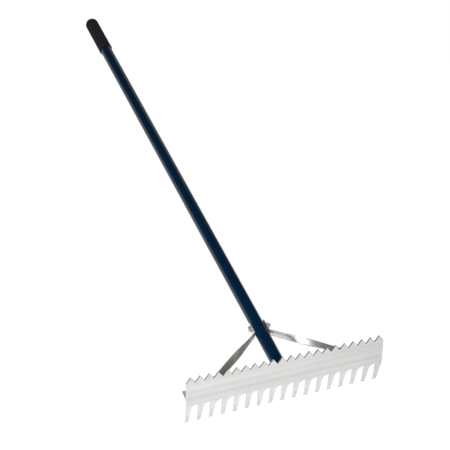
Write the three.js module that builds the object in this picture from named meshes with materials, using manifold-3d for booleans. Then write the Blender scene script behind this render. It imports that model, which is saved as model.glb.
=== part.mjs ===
// Multi purpose rake, in millimetres, +Z up, lying on its tine tips and the end of its grip.
// The head runs along X, the handle goes back along +Y, and the blade's front looks to -Y.
import * as THREE from "three";
import { mergeVertices } from "three/addons/utils/BufferGeometryUtils.js";
import Module from "manifold-3d";

const wasm = await Module();
wasm.setup();

// Rake head: an extruded section, punched into saw teeth above and tines below
const HEAD_LENGTH = 457.2;
const BLADE_HEIGHT = 61.3; // from the crease at the tine roots up to the saw valleys
const BLADE_THICKNESS = 3.2;
const SAW_TOOTH_COUNT = 22;
const SAW_TOOTH_HEIGHT = 13.4;
const SAW_PEAK_FLAT = 0.8;
const SAW_VALLEY_FLAT = 0.6;
const TINE_COUNT = 17;
const TINE_PITCH = 27.7;
const TINE_ROOT_WIDTH = 11.5;
const TINE_TIP_WIDTH = 6.5;
const TINE_STRAIGHT_LENGTH = 46.1;
const TINE_LEAN = THREE.MathUtils.degToRad(8); // backwards, from the blade's plane
const TINE_CURL = THREE.MathUtils.degToRad(65); // of the tip, beyond the lean
const TINE_CURL_RADIUS = 7.4; // of the curl's inner face
const LAST_TINE_MARGIN = 14.6; // from the last tine's straight edge to the blade's end
const GAP_FILLET_RADIUS = 14; // on the tapered side of each tine
const GAP_CORNER_RADIUS = 2; // on its straight side

// Flange behind the blade, which carries the handle and the feet of the braces
const FLANGE_DEPTH = 24;
const FLANGE_THICKNESS = 3.2;
const FLANGE_ROOT_RADIUS = 2;
const FLANGE_BOLT_MARGIN = 9.6; // from the flange's rear edge to its row of bolts

// Handle tube and grip
const HANDLE_LENGTH = 1524; // along the axis, from the blade's front to the dome's top
const HANDLE_HEIGHT = 17.2; // of the axis above the crease, where it meets the blade's front
const HANDLE_RISE = THREE.MathUtils.degToRad(6.1); // backwards, from square to the blade
const TUBE_DIAMETER = 30.4;
const TUBE_WALL = 1.6;
const GRIP_LENGTH = 156;
const GRIP_WALL = 2.6;
const GRIP_RIM_ROUND = 0.6;
const PLUG_LENGTH = 55;
const PLUG_INSET = 1; // of the plug's face from the tube's end

// Braces
const STRAP_WIDTH = 16;
const STRAP_THICKNESS = 2.5;
const STRAP_BEND_RADIUS = 8; // of the strap's middle, where it leaves the tube's side
const TAB_BOLT_DISTANCE = 167.5; // from the blade's front to the cross bolt, along the handle
const TAB_TAIL = 13; // from the cross bolt to the tab's rear end, which is cut square
const TAB_HEEL = 17; // from the cross bolt forward to the bend
const FOOT_MARGIN = 56.6; // from the blade's end to the foot's bolt
const FOOT_TAIL = 7; // from the foot's bolt to the strap's end
const TWIST_START_SHARE = 0.04;
const TWIST_END_SHARE = 0.74;

// Fasteners: one size of hexagon bolt, nut and washer throughout
const BOLT_DIAMETER = 6.35;
const HEX_ACROSS_FLATS = 11.1;
const BOLT_HEAD_HEIGHT = 4.4;
const NUT_HEIGHT = 5.6;
const HEX_CHAMFER = 0.7;
const THREAD_END = 3.4; // that stands out of the nut
const THREAD_CHAMFER = 0.8;
const WASHER_DIAMETER = 15.8;
const WASHER_THICKNESS = 1.3;
const SPACER_DIAMETER = 12;

// Clearances
const SEAT_GAP = 0.3; // between faces that touch on the real rake
const SHANK_CLEARANCE = 0.4; // on the radius, between a bolt and its holes
const CUT_OVERRUN = 5;
const MERGE_DISTANCE = 0.0001;

// Fineness of the round forms
const TUBE_SIDES = 48;
const BOLT_SIDES = 24;
const HEX_SIDES = 6;
const DOME_STEPS = 8;
const CURL_STEPS = 6;
const FILLET_STEPS = 3;
const GAP_ARC_STEPS = 6;
const BEND_STEPS = 5;
const TWIST_STEPS = 18;

// Derived sizes
const TUBE_RADIUS = TUBE_DIAMETER / 2;
const TUBE_BORE_RADIUS = TUBE_RADIUS - TUBE_WALL;
const GRIP_BORE_RADIUS = TUBE_RADIUS + SEAT_GAP;
const GRIP_RADIUS = GRIP_BORE_RADIUS + GRIP_WALL;
const GRIP_SHOULDER = HANDLE_LENGTH - GRIP_RADIUS;
const SHANK_RADIUS = BOLT_DIAMETER / 2;
const HOLE_RADIUS = SHANK_RADIUS + SHANK_CLEARANCE;
const FLANGE_REACH = BLADE_THICKNESS / Math.cos(HANDLE_RISE) + FLANGE_DEPTH;
const FLANGE_BOLT_ROW = FLANGE_REACH - FLANGE_BOLT_MARGIN;
const TUBE_START =
  (BLADE_THICKNESS + SEAT_GAP + TUBE_RADIUS * Math.sin(HANDLE_RISE)) / Math.cos(HANDLE_RISE);
const TAB_OFFSET = TUBE_RADIUS + SEAT_GAP + STRAP_THICKNESS / 2;
const FOOT_SPREAD = HEAD_LENGTH / 2 - FOOT_MARGIN; // from the rake's middle to each foot's bolt
const FOOT_HEIGHT = FLANGE_THICKNESS / 2 + SEAT_GAP + STRAP_THICKNESS / 2;

const aluminium = new THREE.MeshStandardMaterial({ color: 0xd8d8d6, roughness: 0.5, metalness: 0.6 });
const navyCoat = new THREE.MeshStandardMaterial({ color: 0x021f38, roughness: 0.35, metalness: 0.1 });
const blackVinyl = new THREE.MeshStandardMaterial({ color: 0x222326, roughness: 0.75, metalness: 0 });
const strapMetal = new THREE.MeshStandardMaterial({ color: 0xb4b6b4, roughness: 0.35, metalness: 0.9 });
const zincSteel = new THREE.MeshStandardMaterial({ color: 0xbcc2c4, roughness: 0.35, metalness: 0.9 });
const turnedWood = new THREE.MeshStandardMaterial({ color: 0xb58f5c, roughness: 0.8, metalness: 0 });

// A closed geometry as a solid that can be joined and cut.
function solidOf(geometry) {
  const bare = geometry.clone();
  bare.deleteAttribute("normal");
  bare.deleteAttribute("uv");
  const merged = mergeVertices(bare, MERGE_DISTANCE);
  return new wasm.Manifold(
    new wasm.Mesh({
      numProp: 3,
      vertProperties: merged.attributes.position.array,
      triVerts: new Uint32Array(merged.index.array),
    }),
  );
}

function geometryOf(solid) {
  const mesh = solid.getMesh();
  const geometry = new THREE.BufferGeometry();
  geometry.setAttribute("position", new THREE.BufferAttribute(mesh.vertProperties, mesh.numProp));
  geometry.setIndex(new THREE.BufferAttribute(mesh.triVerts, 1));
  geometry.computeVertexNormals();
  return geometry;
}

function namedMesh(name, solid, material) {
  const mesh = new THREE.Mesh(geometryOf(solid), material);
  mesh.name = name;
  return mesh;
}

// Points along an arc of the plane, both ends included.
function arcPoints(centre, radius, from, to, steps) {
  const points = [];
  for (let i = 0; i <= steps; i++) {
    const angle = THREE.MathUtils.lerp(from, to, i / steps);
    points.push(new THREE.Vector2(radius * Math.cos(angle), radius * Math.sin(angle)).add(centre));
  }
  return points;
}

// A flat outline pushed along its own normal, with the outline's axes laid along two axes of the part.
function prism(points, depth, across, up) {
  const normal = new THREE.Vector3().crossVectors(across, up);
  const geometry = new THREE.ExtrudeGeometry(new THREE.Shape(points), { depth, bevelEnabled: false });
  geometry.translate(0, 0, -depth / 2);
  geometry.applyMatrix4(new THREE.Matrix4().makeBasis(across, up, normal));
  return geometry;
}

const X = new THREE.Vector3(1, 0, 0);
const Y = new THREE.Vector3(0, 1, 0);
const Z = new THREE.Vector3(0, 0, 1);

// A round bar along one axis, centred on the origin.
function bar(radius, length, axis, sides = BOLT_SIDES) {
  const geometry = new THREE.CylinderGeometry(radius, radius, length, sides);
  geometry.applyQuaternion(new THREE.Quaternion().setFromUnitVectors(Y, axis));
  return geometry;
}

function turned(profile, sides) {
  return solidOf(new THREE.LatheGeometry(profile, sides));
}

// The frame of the handle: Y along its axis, away from the blade, and Z up, square to the flange.
const handleFrame = new THREE.Group();
handleFrame.position.set(0, 0, HANDLE_HEIGHT);
handleFrame.rotation.x = HANDLE_RISE;
handleFrame.updateMatrix();

// A point of the section, in the plane of Y and Z, from its place along and above the handle's axis.
function handlePoint(along, above) {
  const point = new THREE.Vector3(0, along, above).applyMatrix4(handleFrame.matrix);
  return new THREE.Vector2(point.y, point.z);
}

// Where the tine's straight part ends, and the centre of its curl.
const tineDown = new THREE.Vector2(Math.sin(TINE_LEAN), -Math.cos(TINE_LEAN));
const tineBack = new THREE.Vector2(Math.cos(TINE_LEAN), Math.sin(TINE_LEAN));
const curlOuterRadius = TINE_CURL_RADIUS + BLADE_THICKNESS;
const curlStart = tineDown.clone().multiplyScalar(TINE_STRAIGHT_LENGTH);
const curlCentre = curlStart.addScaledVector(tineBack, curlOuterRadius);
const curlFrom = Math.PI + TINE_LEAN;
const curlTo = curlFrom + TINE_CURL;
const outerCurl = arcPoints(curlCentre, curlOuterRadius, curlFrom, curlTo, CURL_STEPS);
const innerCurl = arcPoints(curlCentre, TINE_CURL_RADIUS, curlTo, curlFrom, CURL_STEPS);
const tineTip = outerCurl.at(-1); // the lowest point of the head

// The fillet between the blade's rear face and one face of the flange.
function flangeFillet(side) {
  const face = handlePoint(0, (side * FLANGE_THICKNESS) / 2);
  const centreY = BLADE_THICKNESS + FLANGE_ROOT_RADIUS;
  const rise = side * FLANGE_ROOT_RADIUS + (centreY - face.x) * Math.sin(HANDLE_RISE);
  const centre = new THREE.Vector2(centreY, face.y + rise / Math.cos(HANDLE_RISE));
  const onFlange = HANDLE_RISE - (side * Math.PI) / 2;
  return arcPoints(centre, FLANGE_ROOT_RADIUS, onFlange, -side * Math.PI, FILLET_STEPS);
}

function headSection() {
  const above = BLADE_HEIGHT + SAW_TOOTH_HEIGHT + CUT_OVERRUN;
  const halfFlange = FLANGE_THICKNESS / 2;
  return [
    new THREE.Vector2(0, above),
    new THREE.Vector2(0, 0),
    ...outerCurl,
    ...innerCurl,
    new THREE.Vector2(BLADE_THICKNESS, BLADE_THICKNESS * Math.tan(TINE_LEAN / 2)),
    ...flangeFillet(-1).reverse(),
    handlePoint(FLANGE_REACH, -halfFlange),
    handlePoint(FLANGE_REACH, halfFlange),
    ...flangeFillet(1),
    new THREE.Vector2(BLADE_THICKNESS, above),
  ];
}

// The head seen from the front: a rectangle with the saw along its top.
function headOutline(bottom) {
  const half = HEAD_LENGTH / 2;
  const peak = BLADE_HEIGHT + SAW_TOOTH_HEIGHT;
  const pitch = HEAD_LENGTH / SAW_TOOTH_COUNT;
  const points = [new THREE.Vector2(-half, bottom), new THREE.Vector2(half, bottom)];
  points.push(new THREE.Vector2(half, BLADE_HEIGHT));
  for (let i = 0; i < SAW_TOOTH_COUNT; i++) {
    const right = half - i * pitch;
    const middle = right - pitch / 2;
    const left = right - pitch;
    points.push(new THREE.Vector2(right - SAW_VALLEY_FLAT / 2, BLADE_HEIGHT));
    points.push(new THREE.Vector2(middle + SAW_PEAK_FLAT / 2, peak));
    points.push(new THREE.Vector2(middle - SAW_PEAK_FLAT / 2, peak));
    points.push(new THREE.Vector2(left + SAW_VALLEY_FLAT / 2, BLADE_HEIGHT));
  }
  points.push(new THREE.Vector2(-half, BLADE_HEIGHT));
  return points;
}

// The gap to the right of one tine, from that tine's straight left edge.
function gapOutline(bottom) {
  const filletCentre = new THREE.Vector2(TINE_ROOT_WIDTH + GAP_FILLET_RADIUS, -GAP_FILLET_RADIUS);
  const cornerCentre = new THREE.Vector2(TINE_PITCH - GAP_CORNER_RADIUS, -GAP_CORNER_RADIUS);
  return [
    new THREE.Vector2(TINE_PITCH, bottom),
    ...arcPoints(cornerCentre, GAP_CORNER_RADIUS, 0, Math.PI / 2, FILLET_STEPS),
    ...arcPoints(filletCentre, GAP_FILLET_RADIUS, Math.PI / 2, Math.PI, GAP_ARC_STEPS),
    new THREE.Vector2(TINE_TIP_WIDTH, tineTip.y),
    new THREE.Vector2(TINE_TIP_WIDTH, bottom),
  ];
}

function makeHead() {
  const bottom = tineTip.y - CUT_OVERRUN;
  const depth = 2 * (FLANGE_REACH + CUT_OVERRUN);
  const front = solidOf(prism(headOutline(bottom), depth, X, Z));
  let head = solidOf(prism(headSection(), HEAD_LENGTH + CUT_OVERRUN, Y, Z)).intersect(front);
  const lastTine = HEAD_LENGTH / 2 - LAST_TINE_MARGIN;
  for (let i = 0; i < TINE_COUNT; i++) {
    const gap = prism(gapOutline(bottom - CUT_OVERRUN), depth, X, Z);
    gap.translate(lastTine - i * TINE_PITCH, 0, 0);
    head = head.subtract(solidOf(gap));
  }
  for (const place of [-FOOT_SPREAD, 0, FOOT_SPREAD]) {
    const hole = bar(HOLE_RADIUS, FLANGE_THICKNESS + CUT_OVERRUN, Z);
    hole.translate(place, FLANGE_BOLT_ROW, 0);
    hole.applyMatrix4(handleFrame.matrix);
    head = head.subtract(solidOf(hole));
  }
  return namedMesh("rake_head", head, aluminium);
}

// The slot that lets the tube and its plug slide over the flange.
function flangeSlot() {
  const rear = FLANGE_REACH + SEAT_GAP;
  const length = rear + CUT_OVERRUN;
  const height = FLANGE_THICKNESS + 2 * SEAT_GAP;
  const geometry = new THREE.BoxGeometry(TUBE_DIAMETER + CUT_OVERRUN, length, height);
  geometry.translate(0, rear - length / 2, 0);
  return solidOf(geometry);
}

function crossHole(along, axis) {
  const geometry = bar(HOLE_RADIUS, TUBE_DIAMETER + CUT_OVERRUN, axis);
  geometry.translate(0, along, 0);
  return solidOf(geometry);
}

function makeTube() {
  const end = GRIP_SHOULDER - SEAT_GAP;
  const wall = [
    new THREE.Vector2(TUBE_RADIUS, TUBE_START),
    new THREE.Vector2(TUBE_RADIUS, end),
    new THREE.Vector2(TUBE_BORE_RADIUS, end),
    new THREE.Vector2(TUBE_BORE_RADIUS, TUBE_START),
    new THREE.Vector2(TUBE_RADIUS, TUBE_START),
  ];
  const tube = turned(wall, TUBE_SIDES)
    .subtract(flangeSlot())
    .subtract(crossHole(FLANGE_BOLT_ROW, Z))
    .subtract(crossHole(TAB_BOLT_DISTANCE, X));
  return namedMesh("handle_tube", tube, navyCoat);
}

function makePlug() {
  const start = TUBE_START + PLUG_INSET;
  const core = bar(TUBE_BORE_RADIUS - SEAT_GAP, PLUG_LENGTH, Y, TUBE_SIDES);
  core.translate(0, start + PLUG_LENGTH / 2, 0);
  const plug = solidOf(core).subtract(flangeSlot()).subtract(crossHole(FLANGE_BOLT_ROW, Z));
  return namedMesh("handle_plug", plug, turnedWood);
}

// The grip is a cup: its bore ends in a dome of the same wall.
function makeGrip() {
  const start = HANDLE_LENGTH - GRIP_LENGTH;
  const shoulder = new THREE.Vector2(0, GRIP_SHOULDER);
  const profile = [
    ...arcPoints(shoulder, GRIP_BORE_RADIUS, Math.PI / 2, 0, DOME_STEPS),
    new THREE.Vector2(GRIP_BORE_RADIUS, start),
    new THREE.Vector2(GRIP_RADIUS - GRIP_RIM_ROUND, start),
    new THREE.Vector2(GRIP_RADIUS, start + GRIP_RIM_ROUND),
    ...arcPoints(shoulder, GRIP_RADIUS, 0, Math.PI / 2, DOME_STEPS),
  ];
  profile[0].x = 0;
  profile.at(-1).x = 0;
  return namedMesh("handle_grip", turned(profile, TUBE_SIDES), blackVinyl);
}

// The sleeve that keeps the cross bolt from crushing the tube; its rims stop just short of the bore.
function makeSpacer() {
  const radius = SPACER_DIAMETER / 2;
  const length = 2 * (Math.sqrt(TUBE_BORE_RADIUS ** 2 - radius ** 2) - SEAT_GAP);
  const bore = solidOf(bar(HOLE_RADIUS, length + CUT_OVERRUN, X));
  const spacer = solidOf(bar(radius, length, X)).subtract(bore);
  const mesh = namedMesh("cross_spacer", spacer, zincSteel);
  mesh.position.y = TAB_BOLT_DISTANCE;
  return mesh;
}

// A closed strip through a list of stations, each with its centre and the direction of its width.
function stripGeometry(stations) {
  const positions = [];
  const index = [];
  stations.forEach(({ centre, width }, i) => {
    const before = stations[Math.max(i - 1, 0)].centre;
    const after = stations[Math.min(i + 1, stations.length - 1)].centre;
    const face = new THREE.Vector3().subVectors(after, before).cross(width).normalize();
    for (const [w, t] of [[1, 1], [-1, 1], [-1, -1], [1, -1]]) {
      const corner = centre.clone();
      corner.addScaledVector(width, (w * STRAP_WIDTH) / 2);
      corner.addScaledVector(face, (t * STRAP_THICKNESS) / 2);
      positions.push(corner.x, corner.y, corner.z);
    }
  });
  for (let i = 0; i + 1 < stations.length; i++) {
    for (let side = 0; side < 4; side++) {
      const a = 4 * i + side;
      const b = 4 * i + ((side + 1) % 4);
      index.push(a, b, b + 4, a, b + 4, a + 4);
    }
  }
  const last = 4 * (stations.length - 1);
  index.push(2, 1, 0, 3, 2, 0);
  index.push(last, last + 1, last + 2, last, last + 2, last + 3);
  const geometry = new THREE.BufferGeometry();
  geometry.setAttribute("position", new THREE.Float32BufferAttribute(positions, 3));
  geometry.setIndex(index);
  return geometry;
}

const tabCentre = new THREE.Vector3(TAB_OFFSET, TAB_BOLT_DISTANCE, 0);
const tabEnd = new THREE.Vector3(TAB_OFFSET, TAB_BOLT_DISTANCE + TAB_TAIL, 0);
const footCentre = new THREE.Vector3(FOOT_SPREAD, FLANGE_BOLT_ROW, FOOT_HEIGHT);

// Stations of the right brace: flat on the tube's side, round a bend, then twisting on to the flange.
function strapStations() {
  const stations = [{ centre: tabEnd, width: Z }];
  const bendCentre = new THREE.Vector3(TAB_OFFSET + STRAP_BEND_RADIUS, TAB_BOLT_DISTANCE - TAB_HEEL, 0);
  const toFoot = new THREE.Vector2(footCentre.x - bendCentre.x, footCentre.y - bendCentre.y);
  const sweep = toFoot.angle() - 2 * Math.PI + Math.acos(-STRAP_BEND_RADIUS / toFoot.length());
  for (let i = 0; i <= BEND_STEPS; i++) {
    const angle = Math.PI + (sweep * i) / BEND_STEPS;
    const centre = new THREE.Vector3(Math.cos(angle), Math.sin(angle), 0);
    stations.push({ centre: centre.multiplyScalar(STRAP_BEND_RADIUS).add(bendCentre), width: Z });
  }
  const runStart = stations.at(-1).centre;
  const sideways = new THREE.Vector3(Math.cos(sweep), Math.sin(sweep), 0);
  for (let i = 1; i <= TWIST_STEPS; i++) {
    const share = i / TWIST_STEPS;
    const turn = THREE.MathUtils.smoothstep(share, TWIST_START_SHARE, TWIST_END_SHARE);
    const centre = runStart.clone().lerp(footCentre, share);
    centre.z = FOOT_HEIGHT * turn;
    const width = Z.clone().multiplyScalar(Math.cos((turn * Math.PI) / 2));
    width.addScaledVector(sideways, Math.sin((turn * Math.PI) / 2));
    stations.push({ centre, width });
  }
  const onward = new THREE.Vector3().crossVectors(sideways, Z);
  stations.push({ centre: footCentre.clone().addScaledVector(onward, FOOT_TAIL), width: sideways });
  return stations;
}

function placedBar(radius, length, axis, place) {
  const geometry = bar(radius, length, axis);
  geometry.translate(place.x, place.y, place.z);
  return solidOf(geometry);
}

function makeBrace(name) {
  const brace = solidOf(stripGeometry(strapStations()))
    .subtract(placedBar(HOLE_RADIUS, STRAP_THICKNESS + CUT_OVERRUN, X, tabCentre))
    .subtract(placedBar(HOLE_RADIUS, STRAP_THICKNESS + CUT_OVERRUN, Z, footCentre));
  return namedMesh(name, brace, strapMetal);
}

// A hexagon block between two heights, its corners chamfered at each end that is open to view.
function hexBlock(low, high, chamferLow) {
  const corner = HEX_ACROSS_FLATS / Math.sqrt(3);
  const height = high - low;
  const block = new THREE.CylinderGeometry(corner, corner, height, HEX_SIDES);
  block.translate(0, (low + high) / 2, 0);
  const rim = HEX_ACROSS_FLATS / 2;
  const reach = corner + HEX_CHAMFER;
  const drop = (reach - rim) * (HEX_CHAMFER / (corner - rim));
  const crown = [new THREE.Vector2(0, low)];
  if (chamferLow) crown.push(new THREE.Vector2(rim, low), new THREE.Vector2(reach, low + drop));
  else crown.push(new THREE.Vector2(reach, low));
  crown.push(new THREE.Vector2(reach, high - drop), new THREE.Vector2(rim, high));
  crown.push(new THREE.Vector2(0, high));
  return solidOf(block).intersect(turned(crown, BOLT_SIDES));
}

function makeBolt(name, length) {
  const shank = [
    new THREE.Vector2(0, -length),
    new THREE.Vector2(SHANK_RADIUS - THREAD_CHAMFER, -length),
    new THREE.Vector2(SHANK_RADIUS, THREAD_CHAMFER - length),
    new THREE.Vector2(SHANK_RADIUS, BOLT_HEAD_HEIGHT / 2),
    new THREE.Vector2(0, BOLT_HEAD_HEIGHT / 2),
  ];
  const bolt = hexBlock(0, BOLT_HEAD_HEIGHT, false).add(turned(shank, BOLT_SIDES));
  return namedMesh(name, bolt, zincSteel);
}

function makeNut(name) {
  const bore = solidOf(bar(HOLE_RADIUS, 2 * NUT_HEIGHT + CUT_OVERRUN, Y));
  return namedMesh(name, hexBlock(-NUT_HEIGHT, 0, true).subtract(bore), zincSteel);
}

function makeWasher(name) {
  const disc = bar(WASHER_DIAMETER / 2, WASHER_THICKNESS, Y);
  disc.translate(0, -WASHER_THICKNESS / 2, 0);
  const bore = solidOf(bar(HOLE_RADIUS, 2 * WASHER_THICKNESS + CUT_OVERRUN, Y));
  return namedMesh(name, solidOf(disc).subtract(bore), zincSteel);
}

// A bolt with its nut and washers through what lies between two heights; its head is at Y's high end.
function boltStack(name, low, high, headWasher) {
  const stack = new THREE.Group();
  let head = high + SEAT_GAP;
  if (headWasher) {
    head += WASHER_THICKNESS;
    const washer = makeWasher(name + "_head_washer");
    washer.position.y = head;
    stack.add(washer);
    head += SEAT_GAP;
  }
  const nutWasher = makeWasher(name + "_nut_washer");
  nutWasher.position.y = low - SEAT_GAP;
  const nut = makeNut(name + "_nut");
  nut.position.y = nutWasher.position.y - WASHER_THICKNESS - SEAT_GAP;
  const bolt = makeBolt(name + "_bolt", head - nut.position.y + NUT_HEIGHT + THREAD_END);
  bolt.position.y = head;
  stack.add(nutWasher, nut, bolt);
  return stack;
}

function makeCrossStack() {
  const side = TAB_OFFSET + STRAP_THICKNESS / 2;
  const stack = boltStack("cross", -side, side, true);
  stack.position.y = TAB_BOLT_DISTANCE;
  stack.rotation.z = Math.PI / 2;
  return stack;
}

function makeUprightStack(name, low, high, across) {
  const stack = boltStack(name, low, high, false);
  stack.position.set(across, FLANGE_BOLT_ROW, 0);
  stack.rotation.x = Math.PI / 2;
  return stack;
}

const leftBrace = makeBrace("brace_left");
leftBrace.scale.x = -1;
const flangeUnderside = -FLANGE_THICKNESS / 2;
const footTop = FOOT_HEIGHT + STRAP_THICKNESS / 2;
handleFrame.add(makeTube(), makePlug(), makeGrip(), makeSpacer(), leftBrace, makeBrace("brace_right"));
handleFrame.add(makeCrossStack());
handleFrame.add(makeUprightStack("handle", -TUBE_RADIUS, TUBE_RADIUS, 0));
handleFrame.add(makeUprightStack("foot_left", flangeUnderside, footTop, -FOOT_SPREAD));
handleFrame.add(makeUprightStack("foot_right", flangeUnderside, footTop, FOOT_SPREAD));

// The rake is tipped until its tine tips and the end of its grip lie on one level.
const gripEnd = handlePoint(GRIP_SHOULDER, -GRIP_RADIUS);
const rake = new THREE.Group();
rake.add(makeHead(), handleFrame);
rake.rotation.x = -Math.atan2(gripEnd.y - tineTip.y, gripEnd.x - tineTip.x);

// The origin is under the middle of the whole rake, on the floor.
const bounds = new THREE.Box3().setFromObject(rake, true);
const middle = bounds.getCenter(new THREE.Vector3());
rake.position.set(-middle.x, -middle.y, -bounds.min.z);

const part = new THREE.Group();
part.add(rake);

export default part;
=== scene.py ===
"""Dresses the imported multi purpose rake: a punched aluminium head, a coated tube with a moulded grip, two
twisted braces and their fasteners, on a pale floor under soft light. Lengths are in metres."""
import math

import bmesh
import bpy
import numpy as np
from bpy.props import FloatProperty, FloatVectorProperty, IntProperty, PointerProperty
from mathutils import Matrix, Vector


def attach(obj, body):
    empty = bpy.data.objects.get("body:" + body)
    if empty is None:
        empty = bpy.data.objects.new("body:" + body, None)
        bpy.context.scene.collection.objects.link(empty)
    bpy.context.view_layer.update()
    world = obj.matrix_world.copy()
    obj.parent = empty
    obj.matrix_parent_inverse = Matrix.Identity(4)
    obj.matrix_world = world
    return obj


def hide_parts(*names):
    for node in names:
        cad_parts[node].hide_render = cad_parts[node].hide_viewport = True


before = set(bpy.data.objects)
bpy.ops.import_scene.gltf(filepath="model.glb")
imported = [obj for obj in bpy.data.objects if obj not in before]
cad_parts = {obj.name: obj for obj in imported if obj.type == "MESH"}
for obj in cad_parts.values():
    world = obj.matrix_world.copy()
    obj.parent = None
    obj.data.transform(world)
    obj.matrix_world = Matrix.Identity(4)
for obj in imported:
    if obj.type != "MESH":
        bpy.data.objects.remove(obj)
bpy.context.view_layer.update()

bl_info = {
    "name": "Multi purpose rake",
    "version": (1, 0, 0),
    "blender": (4, 5, 0),
    "location": "3D View > Sidebar > Rake",
    "description": "Dresses the rake's frame piece by piece, in finished shapes and materials",
    "category": "Object",
}

MM = 0.001
BODY = "root"
QUARTER = math.pi / 2
TURN = 2 * math.pi

# Where the frame holds the rake: the head is tipped back about the crease at its tine roots
REST_TILT = math.radians(8.18024032)
CREASE_PLACE = Vector((0, -0.76264898, 0.05572584))
HEAD_FRAME = Matrix.Translation(CREASE_PLACE) @ Matrix.Rotation(-REST_TILT, 4, "X")

# Clearances and small sizes of the finished shapes
CUT_OVERRUN = 5 * MM
SEAT_GAP = 0.3 * MM
TUBE_LIP = 0.3 * MM
PLUG_EASE = 0.8 * MM
GRIP_TRIM = 0.02 * MM
GRIP_RIM = 0.55 * MM
GRIP_CHAMFER = 0.1 * MM
WASHER_EASE = 0.25 * MM
CROWN_SHARE = 0.985
THREAD_FLANKS = (0.1, 0.9)
POINT_LENGTH = 0.9 * MM
POINT_DEPTH = 0.7 * MM
HEX_SIDES = 6
HEX_TURN = math.pi / HEX_SIDES
MERGE_DISTANCE = 1e-7

# Around the crease, from the blade's front to this share of its thickness, no punched edge is rounded
CREASE_RANGE = (-1.6 * MM, 0.6 * MM)
CREASE_SHARE = 1.2

# Edges that turn by more than these angles are shaded sharp; the head's are rounded beyond the last one
HEAD_SHARP = math.radians(7)
TURNED_SHARP = math.radians(25)
GRIP_SHARP = math.radians(30)
STRAP_SHARP = math.radians(32)
ROUNDED_FROM = math.radians(30)

# Fineness of the finished shapes
ROUND_SIDES = 96
SMALL_ROUND_SIDES = 48
CONE_SIDES = 64
THREAD_ROWS = 8
CURL_STEPS = 18
CORNER_STEPS = 14
FILLET_STEPS = 22
EASE_STEPS = 4
RIM_STEPS = 6
INNER_DOME_STEPS = 24
OUTER_DOME_STEPS = 28
TUBE_STATIONS = 60
GRIP_STATIONS = 40
TAB_STEPS = 6
RUN_STEPS = 90


# Kinds of property; lengths are given in millimetres and angles in degrees


def real(label, default, description, **kind):
    return FloatProperty(name=label, description=description, default=default, min=0, **kind)


def length(label, default, description):
    return real(label, default * MM, description, precision=5, unit="LENGTH", subtype="DISTANCE")


def angle(label, default, description):
    return real(label, math.radians(default), description, unit="ROTATION", subtype="ANGLE")


def share(label, default, description):
    return real(label, default, description, max=1, subtype="FACTOR")


def power(label, default, description):
    return real(label, default, description, unit="POWER", subtype="POWER")


def count(label, default, description):
    return IntProperty(name=label, description=description, default=default, min=1)


def colour(label, default, description):
    return FloatVectorProperty(
        name=label, description=description, default=default, size=3, min=0, max=1, subtype="COLOR"
    )


class RakeHeadSizes(bpy.types.PropertyGroup):
    """Sizes of the punched head"""

    long: length("Length", 457.2, "Length of the head, from end to end")
    blade_height: length("Blade height", 61.3, "From the crease at the tine roots up to the saw's valleys")
    thickness: length("Thickness", 3.2, "Thickness of the blade and the tines")
    tooth_count: count("Saw teeth", 22, "Number of teeth along the top edge")
    tooth_height: length("Tooth height", 13.4, "Height of a saw tooth above its valleys")
    peak_flat: length("Peak flat", 0.8, "Width of the flat on top of a saw tooth")
    valley_flat: length("Valley flat", 0.6, "Width of the flat between two saw teeth")
    tine_count: count("Tines", 17, "Number of tines along the bottom edge")
    tine_pitch: length("Tine pitch", 27.7, "Distance from tine to tine")
    root_width: length("Root width", 11.5, "Width of a tine under its fillet")
    tip_width: length("Tip width", 6.5, "Width of a tine at its tip")
    straight: length("Straight length", 46.1, "Length of a tine from the crease to its curl")
    lean: angle("Lean", 8, "Lean of the tines behind the blade's plane")
    curl: angle("Curl", 65, "Turn of a tine's tip beyond its lean")
    curl_radius: length("Curl radius", 7.4, "Radius of the curl's inner face")
    last_margin: length("Last margin", 14.6, "From the last tine's straight edge to the blade's end")
    gap_fillet: length("Gap fillet", 14, "Radius on the tapered side of a tine's root")
    gap_corner: length("Gap corner", 2, "Radius on the straight side of a tine's root")
    flange_depth: length("Flange depth", 24, "How far the flange stands out behind the blade")
    flange_thickness: length("Flange thickness", 3.2, "Thickness of the flange")
    flange_fillet: length("Flange fillet", 2, "Radius between the flange and the blade")
    bolt_margin: length("Bolt margin", 9.6, "From the flange's rear edge to its row of bolts")
    edge_round: length("Edge rounding", 0.28, "Rounding of the punched edges")


class RakeHandleSizes(bpy.types.PropertyGroup):
    """Sizes of the tube, its plug and its grip"""

    long: length("Length", 1524, "From the blade's front to the top of the grip's dome")
    height: length("Height", 17.2, "Height of the axis above the crease, at the blade's front")
    rise: angle("Rise", 6.1, "Turn of the axis from square to the blade")
    diameter: length("Tube diameter", 30.4, "Outer diameter of the tube")
    wall: length("Tube wall", 1.6, "Wall of the tube")
    grip_long: length("Grip length", 156, "Length of the grip, dome included")
    grip_wall: length("Grip wall", 2.6, "Wall of the grip")
    plug_long: length("Plug length", 55, "Length of the plug in the tube's lower end")
    plug_inset: length("Plug inset", 1, "Depth of the plug's face in the tube's end")
    spacer: length("Spacer diameter", 12, "Diameter of the spacer on the cross bolt")


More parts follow.
